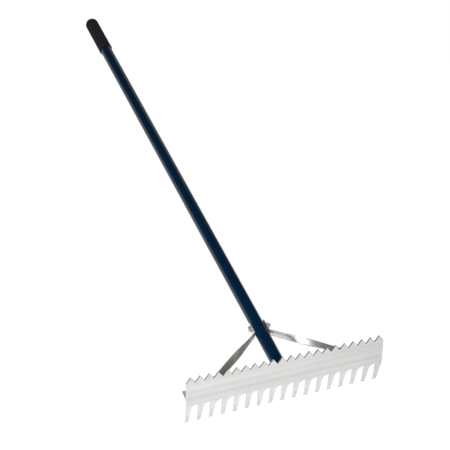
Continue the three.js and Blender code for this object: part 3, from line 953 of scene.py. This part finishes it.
def make_handle(sizes, coat, wood, zinc):
    """The tube, the wooden plug in its lower end and the spacer on the cross bolt."""
    head, handle, braces = sizes.rake_head, sizes.rake_handle, sizes.rake_braces
    place = handle_frame(handle)
    hole = hole_radius(sizes.rake_fasteners)
    radius = handle.diameter / 2
    bore = radius - handle.wall
    start = (head.thickness + SEAT_GAP + radius * math.sin(handle.rise)) / math.cos(handle.rise)
    grip_radius = radius + SEAT_GAP + handle.grip_wall
    end = handle.long - grip_radius - SEAT_GAP
    across = handle.diameter + CUT_OVERRUN

    def slot():
        """What the flange takes out of the tube and the plug."""
        rear = flange_reach(head, handle) + SEAT_GAP
        tall = head.flange_thickness / 2 + SEAT_GAP
        wide = radius + CUT_OVERRUN
        outline = [(-wide, -CUT_OVERRUN), (wide, -CUT_OVERRUN), (wide, rear), (-wide, rear)]
        return prism_mesh("slot", outline, 2 * tall, lambda u, v, w: (u, v, w))

    def flange_bolt():
        return bar_mesh(hole, across, (0, 0, 1), (0, bolt_row(head, handle), 0))

    low, high = start + TUBE_LIP, end - TUBE_LIP
    wall = [(radius - TUBE_LIP, start), *((radius, y) for y in np.linspace(low, high, TUBE_STATIONS))]
    wall += [(radius - TUBE_LIP, end), (bore + TUBE_LIP, end)]
    wall += [(bore, high), (bore, low), (bore + TUBE_LIP, start)]
    tube = new_object("handle_tube_detailed", lathe_mesh("tube", wall, ROUND_SIDES, closed=True), coat)
    cut(tube, slot(), flange_bolt(), bar_mesh(hole, across, (1, 0, 0), (0, braces.bolt_distance, 0)))
    settle(tube, place, "handle_tube")

    face = start + handle.plug_inset
    back = face + handle.plug_long
    core = bore - SEAT_GAP
    turned = [(0, face), (core - PLUG_EASE, face), (core, face + PLUG_EASE)]
    turned += [(core, back - PLUG_EASE), (core - PLUG_EASE, back), (0, back)]
    plug = new_object("handle_plug_detailed", lathe_mesh("plug", turned, ROUND_SIDES), wood)
    cut(plug, slot(), flange_bolt())
    settle(plug, place, "handle_plug")

    outer = handle.spacer / 2
    half = math.sqrt(bore**2 - outer**2) - SEAT_GAP
    profile = [(outer, -half), (outer, half), (hole, half), (hole, -half)]
    sleeve = lathe_mesh("spacer", profile, SMALL_ROUND_SIDES, closed=True)
    spacer = new_object("cross_spacer_detailed", sleeve, zinc)
    lift = Matrix.Translation((0, braces.bolt_distance, 0))
    settle(spacer, place @ lift @ Matrix.Rotation(-QUARTER, 4, "Z"), "cross_spacer")


def make_grip(sizes, vinyl):
    """The moulded grip: a long cup with a rolled rim and a domed end."""
    handle = sizes.rake_handle
    bore = handle.diameter / 2 + SEAT_GAP
    outer = bore + handle.grip_wall - GRIP_TRIM
    start = handle.long - handle.grip_long
    shoulder = handle.long - outer - GRIP_TRIM
    inside = [(r, shoulder + y) for r, y in arc((0, 0), bore, QUARTER, 0, INNER_DOME_STEPS)]
    outside = [(r, shoulder + y) for r, y in arc((0, 0), outer, 0, QUARTER, OUTER_DOME_STEPS)]
    inside[0] = (0, inside[0][1])
    outside[-1] = (0, outside[-1][1])
    edge = [(bore, start + GRIP_CHAMFER), (bore + GRIP_CHAMFER, start)]
    edge += [tuple(p) for p in arc((outer - GRIP_RIM, start + GRIP_RIM), GRIP_RIM, -QUARTER, 0, RIM_STEPS)]
    walls = [(outer, y) for y in np.linspace(start + 2 * GRIP_RIM, shoulder - GRIP_RIM, GRIP_STATIONS)]
    cup = lathe_mesh("grip", inside + edge + walls + outside, ROUND_SIDES)
    grip = new_object("handle_grip_detailed", cup, vinyl)
    settle(grip, handle_frame(handle), "handle_grip", GRIP_SHARP)


def strap_path(sizes):
    """Points along the right brace's middle, from the tab to the foot, then the way to the end of its bend,
    the length of its straight run, and where its two bolts go."""
    head, handle, braces = sizes.rake_head, sizes.rake_handle, sizes.rake_braces
    offset = handle.diameter / 2 + SEAT_GAP + braces.thickness / 2
    tab = Vector((offset, braces.bolt_distance, 0))
    lift = head.flange_thickness / 2 + SEAT_GAP + braces.thickness / 2
    foot = Vector((foot_spread(sizes), bolt_row(head, handle), lift))
    tail = Vector((offset, braces.bolt_distance + braces.tab_tail, 0))
    centre = Vector((offset + braces.bend_radius, braces.bolt_distance - braces.tab_heel, 0))
    away = foot.xy - centre.xy
    sweep = math.atan2(away.y, away.x) + math.acos(-braces.bend_radius / away.length)
    points = [tail.lerp(Vector((offset, centre.y, 0)), i / TAB_STEPS) for i in range(TAB_STEPS)]
    bend = arc(centre, braces.bend_radius, math.pi, math.pi + sweep, CORNER_STEPS)
    points += [spot.to_3d() for spot in bend]
    run_start = points[-1].copy()
    run = math.dist(run_start.xy, foot.xy)
    before = sum(math.dist(a, b) for a, b in zip(points, points[1:]))
    for i in range(1, RUN_STEPS + 1):
        part = i / RUN_STEPS
        turn = min(max((part - braces.twist_start) / (braces.twist_end - braces.twist_start), 0), 1)
        turn = turn * turn * (3 - 2 * turn)
        points.append(Vector((*run_start.xy.lerp(foot.xy, part), foot.z * turn)))
    onward = (foot.xy - run_start.xy).normalized()
    points.append(Vector((*(foot.xy + onward * braces.foot_tail), foot.z)))
    return points, before, run, tab, foot


def path_object(points):
    """A curve through points."""
    line = bpy.data.curves.new("strap_path", "CURVE")
    line.dimensions = "3D"
    spline = line.splines.new("POLY")
    spline.points.add(len(points) - 1)
    for spot, point in zip(spline.points, points):
        spot.co = (*point, 1)
    return new_object("strap_path", line)


def sweep_strap(piece, inputs):
    """Sweeps a rounded flat section along a path, turns it a quarter turn on its way and drills both ends."""
    shape = Shape("Twisted strap")
    values = shape.inputs(inputs)
    path, width, thickness, rounding, twist_start, twist_end, tab_hole, foot_hole, finish = values

    def stored(form, name, value):
        inputs = {"Geometry": form, "Name": name, "Value": value}
        kind = {"data_type": "FLOAT", "domain": "POINT"}
        return shape.add("GeometryNodeStoreNamedAttribute", kind, inputs)[0]

    curve = shape.add("GeometryNodeSetCurveNormal", {"mode": "Z_UP"}, {"Curve": shape.form_of(path)})[0]
    travelled = shape.outputs("GeometryNodeSplineParameter", "Length")[0]
    tilt = travelled.band(twist_start, twist_end) * -QUARTER
    curve = shape.add("GeometryNodeSetCurveTilt", inputs={"Curve": curve, "Tilt": tilt})[0]
    flat = {"Width": thickness, "Height": width}
    section = shape.add("GeometryNodeCurvePrimitiveQuadrilateral", {"mode": "RECTANGLE"}, flat)[0]
    rounded = {"Curve": section, "Radius": rounding, "Limit Radius": True, "Count": EASE_STEPS}
    section = shape.add("GeometryNodeFilletCurve", {"mode": "POLY"}, rounded)[0]
    curve = stored(curve, "along", travelled)
    around = shape.outputs("GeometryNodeSplineParameter", "Length")[0]
    section = stored(section, "across", around)
    swept = {"Curve": curve, "Profile Curve": section, "Fill Caps": True}
    strap = shape.add("GeometryNodeCurveToMesh", inputs=swept)[0]
    holes = [shape.form_of(one) for one in (tab_hole, foot_hole)]
    shape.apply_to(piece, shape.without(strap, *holes), finish)


def make_braces(sizes, material):
    """Both braces. The left one is the right one's mirror image."""
    braces = sizes.rake_braces
    points, before, run, tab, foot = strap_path(sizes)
    radius = hole_radius(sizes.rake_fasteners)
    drill_long = braces.thickness + CUT_OVERRUN
    for node, side in (("brace_left", -1), ("brace_right", 1)):
        piece = new_object(node + "_detailed", bpy.data.meshes.new(node))
        path = path_object(points)
        tab_drill = new_object("tab_drill", bar_mesh(radius, drill_long, (1, 0, 0), tab))
        foot_drill = new_object("foot_drill", bar_mesh(radius, drill_long, (0, 0, 1), foot))
        inputs = {
            "Path": path,
            "Width": braces.width,
            "Thickness": braces.thickness,
            "Edge rounding": braces.edge_round,
            "Twist start": before + run * braces.twist_start,
            "Twist end": before + run * braces.twist_end,
            "Tab hole": tab_drill,
            "Foot hole": foot_drill,
            "Material": material,
        }
        sweep_strap(piece, inputs)
        remove((path, tab_drill, foot_drill))
        mirrored = Matrix.Diagonal((side, 1, 1, 1))
        settle(piece, handle_frame(sizes.rake_handle) @ mirrored, node, STRAP_SHARP)


def fastener_stacks(sizes):
    """Each bolt's name, its frame, the two faces that it clamps, and whether its head has a washer."""
    head, handle, braces = sizes.rake_head, sizes.rake_handle, sizes.rake_braces
    base = handle_frame(handle)
    radius = handle.diameter / 2
    side = radius + SEAT_GAP + braces.thickness
    under = -head.flange_thickness / 2
    over = head.flange_thickness / 2 + SEAT_GAP + braces.thickness
    spread = foot_spread(sizes)
    across = base @ Matrix.Translation((0, braces.bolt_distance, 0)) @ Matrix.Rotation(QUARTER, 4, "Z")
    yield "cross", across, -side, side, True
    for name, x, low, high in (
        ("handle", 0, -radius, radius),
        ("foot_left", -spread, under, over),
        ("foot_right", spread, under, over),
    ):
        upright = Matrix.Translation((x, bolt_row(head, handle), 0)) @ Matrix.Rotation(QUARTER, 4, "X")
        yield name, base @ upright, low, high, False


def washer_mesh(fasteners, top):
    """A stamped washer with eased edges, under a height along Y."""
    inner = hole_radius(fasteners) + WASHER_EASE
    outer = fasteners.washer / 2 - WASHER_EASE
    low = top - fasteners.washer_thickness + WASHER_EASE
    high = top - WASHER_EASE
    corners = ((outer, low), (outer, high), (inner, high), (inner, low))
    profile = []
    for number, corner in enumerate(corners):
        start = (number - 1) * QUARTER
        profile += arc(corner, WASHER_EASE, start, start + QUARTER, EASE_STEPS)
    return lathe_mesh("washer", profile, SMALL_ROUND_SIDES, closed=True)


def threaded_hex(node, fasteners, low, high, shank_long, material):
    """A hexagon from one height to another along Z: a chamfered head on a threaded shank, or a nut with
    a bore where the shank's length is zero."""
    corner = fasteners.across_flats / math.sqrt(3)
    rim = fasteners.across_flats / 2
    slope = (corner - rim) / fasteners.chamfer
    tall = high - low
    piece = new_object(node + "_detailed", bpy.data.meshes.new(node))
    shape = Shape("Hexagon fastener")
    values = shape.inputs(
        {
            "Corner radius": corner,
            "Height": tall,
            "Middle": (low + high) / 2,
            "Crown radius": rim * CROWN_SHARE,
            "Crown foot": rim * CROWN_SHARE + slope * tall,
            "Shank radius": fasteners.shank / 2,
            "Shank length": shank_long,
            "Thread pitch": fasteners.thread_pitch,
            "Thread depth": fasteners.thread_depth,
            "Thread length": fasteners.thread_long,
            "Bore radius": hole_radius(fasteners),
            "Material": material,
        }
    )
    corner, tall, middle, crown, crown_foot, radius, long, pitch, depth, thread_long, bore, finish = values

    def moved(form, height, turn=(0.0, 0.0, 0.0)):
        inputs = {"Geometry": form, "Translation": shape.vector(0, 0, height), "Rotation": turn}
        return shape.add("GeometryNodeTransform", inputs=inputs)[0]

    def block(sides, reach, tall_by, rows=1):
        inputs = {"Vertices": sides, "Side Segments": rows, "Radius": reach, "Depth": tall_by}
        return shape.add("GeometryNodeMeshCylinder", inputs=inputs)[0]

    def crowned(form, turn, base):
        """Takes the corners off one end of the hexagon, with a cone that stands on its other end."""
        inputs = {"Vertices": CONE_SIDES, "Radius Top": crown, "Radius Bottom": crown_foot, "Depth": tall}
        cone = moved(shape.add("GeometryNodeMeshCone", inputs=inputs)[0], base, (turn, 0.0, 0.0))
        return joined("INTERSECT", form, cone)

    def joined(operation, *forms):
        settings = {"operation": operation, "solver": "EXACT"}
        return shape.add("GeometryNodeMeshBoolean", settings, {"Mesh 2": list(forms)})[0]

    form = moved(block(HEX_SIDES, corner, tall), middle, (0.0, 0.0, HEX_TURN))
    form = crowned(form, 0.0, middle - tall * 0.5)
    if shank_long:
        buried = fasteners.head_height / 2
        rows = int((shank_long + buried) / (fasteners.thread_pitch / THREAD_ROWS))
        rod = moved(block(SMALL_ROUND_SIDES, radius, long + buried, rows), (buried - long) / 2)
        x, y, z = shape.xyz(shape.add("GeometryNodeInputPosition")[0])
        phase = (z / pitch - y.math("ARCTAN2", x) / TURN).math("FRACT")
        ridge = (phase - 0.5).math("ABSOLUTE") * 2
        above = z + long
        plain = above.band(thread_long, thread_long + pitch)
        groove = (1 - ridge.band(*THREAD_FLANKS)) * depth * (1 - plain)
        point = (1 - above.band(0.0, POINT_LENGTH)) * POINT_DEPTH
        shrink = (radius - groove.math("MAXIMUM", point)) / radius
        place = shape.vector(x * shrink, y * shrink, z)
        rod = shape.add("GeometryNodeSetPosition", inputs={"Geometry": rod, "Position": place})[0]
        form = joined("UNION", form, rod)
    else:
        form = crowned(form, math.pi, middle + tall * 0.5)
        form = shape.without(form, moved(block(SMALL_ROUND_SIDES, bore, tall * 3), middle))
    shape.apply_to(piece, form, finish)
    return piece


def make_fasteners(sizes, material):
    """The bolts, nuts and washers of all four stacks."""
    fasteners = sizes.rake_fasteners

    def add_washer(node, base, top):
        washer = new_object(node + "_detailed", washer_mesh(fasteners, top), material)
        settle(washer, base, node)

    def add_hexagon(node, base, height, *heights):
        piece = threaded_hex(node, fasteners, *heights, material)
        upright = Matrix.Translation((0, height, 0)) @ Matrix.Rotation(-QUARTER, 4, "X")
        settle(piece, base @ upright, node)

    for name, base, low, high, head_washer in fastener_stacks(sizes):
        top = high + SEAT_GAP
        if head_washer:
            top += fasteners.washer_thickness
            add_washer(name + "_head_washer", base, top)
            top += SEAT_GAP
        add_washer(name + "_nut_washer", base, low - SEAT_GAP)
        seat = low - 2 * SEAT_GAP - fasteners.washer_thickness
        shank_long = top - seat + fasteners.nut_height + fasteners.thread_end
        add_hexagon(name + "_nut", base, seat, -fasteners.nut_height, 0.0, 0.0)
        add_hexagon(name + "_bolt", base, top, 0.0, fasteners.head_height, shank_long)


# Stage

CAMERA_PLACE = (-1.0250613, -2.7962152, 2.457644)
CAMERA_RIGHT = Vector((0.93861915, -0.34012556, 0.05752123))
CAMERA_UP = Vector((0.18208466, 0.63014049, 0.75482988))
SENSOR_WIDTH = 36
CLIP_END = 100

# Each light's place, the spot that it faces and its two sides
KEY = (Vector((-1.9, -2.1, 2.4)), (0, -0.6, 0), (1.9, 1.9))
GLOW = ((1.5, 2.5, 0.75), (0, 0.7, 0.05), (1.1, 1.3))
FILL = ((2.8, -2.6, 2.4), (0, -0.4, 0), (2, 2))

# How far the floor that the camera sees glows by itself, where the floor that metal shows turns from its left
# part into its darker right one, and where it dims with the distance and by how much; both are painted shade
CAMERA_SHARE = 0.88
MIRRORED_TURN = (0.12, 0.5)
MIRRORED_DIM = (-0.4, 1.0)
MIRRORED_DIM_BY = 0.4

# The sky changes between these heights of a unit direction, and its two images fade between these values of
# its nearness to the key light and of its way to the back
LOW_SKY = (0.0, 0.16)
HIGH_SKY = (0.5, 0.66)
SOFTBOX_EDGE = (0.66, 0.97)
FRONT_EDGE = (-0.1, 0.45)


def make_floor(settings):
    """A pale floor that is white to the camera and takes the shadow; to metal it shows a bright left part,
    and painted shade that darkens its right part and dims it with the distance.
    """
    half = settings.floor_size / 2
    corners = [(-half, -half, 0), (half, -half, 0), (half, half, 0), (-half, half, 0)]
    material = bpy.data.materials.new("pale_floor")
    tree = Tree(emptied(material))
    rays = ("Is Camera Ray", "Is Glossy Ray", "Is Transmission Ray")
    camera, glossy, passed = tree.outputs("ShaderNodeLightPath", *rays)
    glossy = glossy.math("MAXIMUM", passed)
    across, along, _ = tree.xyz(tree.outputs("ShaderNodeNewGeometry", "Position")[0])
    # Painted shade: the floor that metal shows is darker on its right and dims towards the back
    right = across.band(*MIRRORED_TURN)
    mirrored = settings.mirrored_left + right * (settings.mirrored_right - settings.mirrored_left)
    mirrored = mirrored * (1 - along.band(*MIRRORED_DIM) * MIRRORED_DIM_BY)
    glow = camera * settings.floor_glow + glossy * mirrored
    plain = tree.add("ShaderNodeBsdfDiffuse", inputs={"Color": (*settings.floor_colour, 1)})[0]
    white = tree.add("ShaderNodeEmission", inputs={"Color": (1, 1, 1, 1), "Strength": glow})[0]
    glowing = camera * CAMERA_SHARE + glossy * settings.mirror_share
    mixed = tree.add("ShaderNodeMixShader", inputs={0: glowing, 1: plain, 2: white})[0]
    tree.add("ShaderNodeOutputMaterial", inputs={"Surface": mixed})
    new_object("floor", mesh_of("floor", corners, [(0, 1, 2, 3)]), material)


def make_world(settings):
    """A sky that is white to the camera, dims from the horizon up, and shows metal a soft key and a front."""
    world = bpy.data.worlds.new("pale_sky")
    bpy.context.scene.world = world
    tree = Tree(emptied(world))
    seen, glossy = tree.outputs("ShaderNodeLightPath", "Is Camera Ray", "Is Glossy Ray")
    way = tree.outputs("ShaderNodeTexCoord", "Generated")[0]
    _, back, up = tree.xyz(way)
    dome = settings.horizon + up.band(*LOW_SKY) * (settings.middle - settings.horizon)
    dome = dome + up.band(*HIGH_SKY) * (settings.zenith - settings.middle)
    key_way = KEY[0].normalized()
    near = tree.add("ShaderNodeVectorMath", {"operation": "DOT_PRODUCT"}, {0: way, 1: key_way})[0]
    images = near.band(*SOFTBOX_EDGE) * settings.softbox + (1 - back.band(*FRONT_EDGE)) * settings.front
    strength = seen + (1 - seen) * dome + glossy * images
    sky = tree.add("ShaderNodeBackground", inputs={"Color": (1, 1, 1, 1), "Strength": strength})[0]
    tree.add("ShaderNodeOutputWorld", inputs={"Surface": sky})


def area_light(name, place, target, size, strength, mirrored=True):
    """A rectangular light that the camera doesn't see; metal shows it where it is mirrored."""
    lamp = bpy.data.lights.new(name, "AREA")
    lamp.shape = "RECTANGLE"
    lamp.size, lamp.size_y = size
    lamp.energy = strength
    holder = new_object(name, lamp)
    holder.visible_camera = False
    holder.visible_glossy = mirrored
    holder.location = place
    holder.rotation_euler = (Vector(target) - Vector(place)).to_track_quat("-Z", "Y").to_euler()


def make_camera(settings):
    """The camera, where the photo's camera stood."""
    camera = new_object("camera", bpy.data.cameras.new("camera"))
    back = CAMERA_RIGHT.cross(CAMERA_UP)
    turn = Matrix((CAMERA_RIGHT, CAMERA_UP, back)).transposed().to_4x4()
    camera.matrix_world = Matrix.Translation(CAMERA_PLACE) @ turn
    camera.data.sensor_width = SENSOR_WIDTH
    camera.data.lens = settings.focal_length
    camera.data.clip_end = CLIP_END
    bpy.context.scene.camera = camera


# Operators, one for each group of pieces and one for the stage


class RAKE_OT_head(bpy.types.Operator):
    """Make the punched head"""

    bl_idname = "rake.head"
    bl_label = "Head"

    def execute(self, context):
        sizes = context.scene
        make_head(sizes, head_finish(sizes.rake_finishes.aluminium))
        return {"FINISHED"}


class RAKE_OT_handle(bpy.types.Operator):
    """Make the coated tube, its plug and its spacer"""

    bl_idname = "rake.handle"
    bl_label = "Handle"

    def execute(self, context):
        sizes = context.scene
        finishes = sizes.rake_finishes
        turn, centre = axis_mapping(sizes)
        coat = coat_finish(finishes.coat, turn, centre)
        make_handle(sizes, coat, wood_finish(finishes.wood, turn, centre), zinc_of(finishes))
        return {"FINISHED"}


class RAKE_OT_grip(bpy.types.Operator):
    """Make the moulded grip"""

    bl_idname = "rake.grip"
    bl_label = "Grip"

    def execute(self, context):
        sizes = context.scene
        make_grip(sizes, vinyl_finish(sizes.rake_finishes.vinyl, *axis_mapping(sizes)))
        return {"FINISHED"}


class RAKE_OT_braces(bpy.types.Operator):
    """Make the two twisted braces"""

    bl_idname = "rake.braces"
    bl_label = "Braces"

    def execute(self, context):
        sizes = context.scene
        make_braces(sizes, strap_finish(sizes.rake_finishes.strap))
        return {"FINISHED"}


class RAKE_OT_fasteners(bpy.types.Operator):
    """Make the bolts, nuts and washers"""

    bl_idname = "rake.fasteners"
    bl_label = "Fasteners"

    def execute(self, context):
        sizes = context.scene
        make_fasteners(sizes, zinc_of(sizes.rake_finishes))
        return {"FINISHED"}


class RAKE_OT_stage(bpy.types.Operator):
    """Make the floor, the lights and the camera"""

    bl_idname = "rake.stage"
    bl_label = "Stage"

    def execute(self, context):
        settings = context.scene.rake_stage
        make_floor(settings)
        make_world(settings)
        area_light("key", *KEY, settings.key_power, mirrored=False)
        area_light("glow", *GLOW, settings.glow_power)
        area_light("fill", *FILL, settings.fill_power)
        make_camera(settings)
        context.scene.view_settings.view_transform = "Standard"
        return {"FINISHED"}


def zinc_of(finishes):
    """The zinc plate, which is made once."""
    return bpy.data.materials.get("zinc_plate") or zinc_finish(finishes.zinc)


def axis_mapping(sizes):
    """The turn and the centre that lay a pattern's Y along the handle's axis."""
    base = handle_frame(sizes.rake_handle)
    return tuple(-a for a in base.to_euler()), tuple(base.translation)


class RAKE_PT_panel(bpy.types.Panel):
    """Lists the pieces and the stage"""

    bl_idname = "RAKE_PT_panel"
    bl_label = "Multi purpose rake"
    bl_space_type = "VIEW_3D"
    bl_region_type = "UI"
    bl_category = "Rake"

    def draw(self, context):
        for operator in OPERATORS:
            self.layout.operator(operator.bl_idname)
        for name in GROUPS:
            box = self.layout.box()
            group = getattr(context.scene, name)
            for key in group.bl_rna.properties.keys():
                if key not in ("rna_type", "name"):
                    box.prop(group, key)


GROUPS = {
    "rake_head": RakeHeadSizes,
    "rake_handle": RakeHandleSizes,
    "rake_braces": RakeBraceSizes,
    "rake_fasteners": RakeFastenerSizes,
    "rake_finishes": RakeFinishes,
    "rake_stage": RakeStageSettings,
}
OPERATORS = (RAKE_OT_head, RAKE_OT_handle, RAKE_OT_grip, RAKE_OT_braces, RAKE_OT_fasteners, RAKE_OT_stage)


def register():
    for kind in (*GROUPS.values(), *OPERATORS, RAKE_PT_panel):
        bpy.utils.register_class(kind)
    for name, kind in GROUPS.items():
        setattr(bpy.types.Scene, name, PointerProperty(type=kind))


def unregister():
    for name in GROUPS:
        delattr(bpy.types.Scene, name)
    for kind in (RAKE_PT_panel, *OPERATORS[::-1], *list(GROUPS.values())[::-1]):
        bpy.utils.unregister_class(kind)


def main():
    register()
    bpy.ops.rake.head()
    bpy.ops.rake.handle()
    bpy.ops.rake.grip()
    bpy.ops.rake.braces()
    bpy.ops.rake.fasteners()
    bpy.ops.rake.stage()


if __name__ == "__main__":
    main()
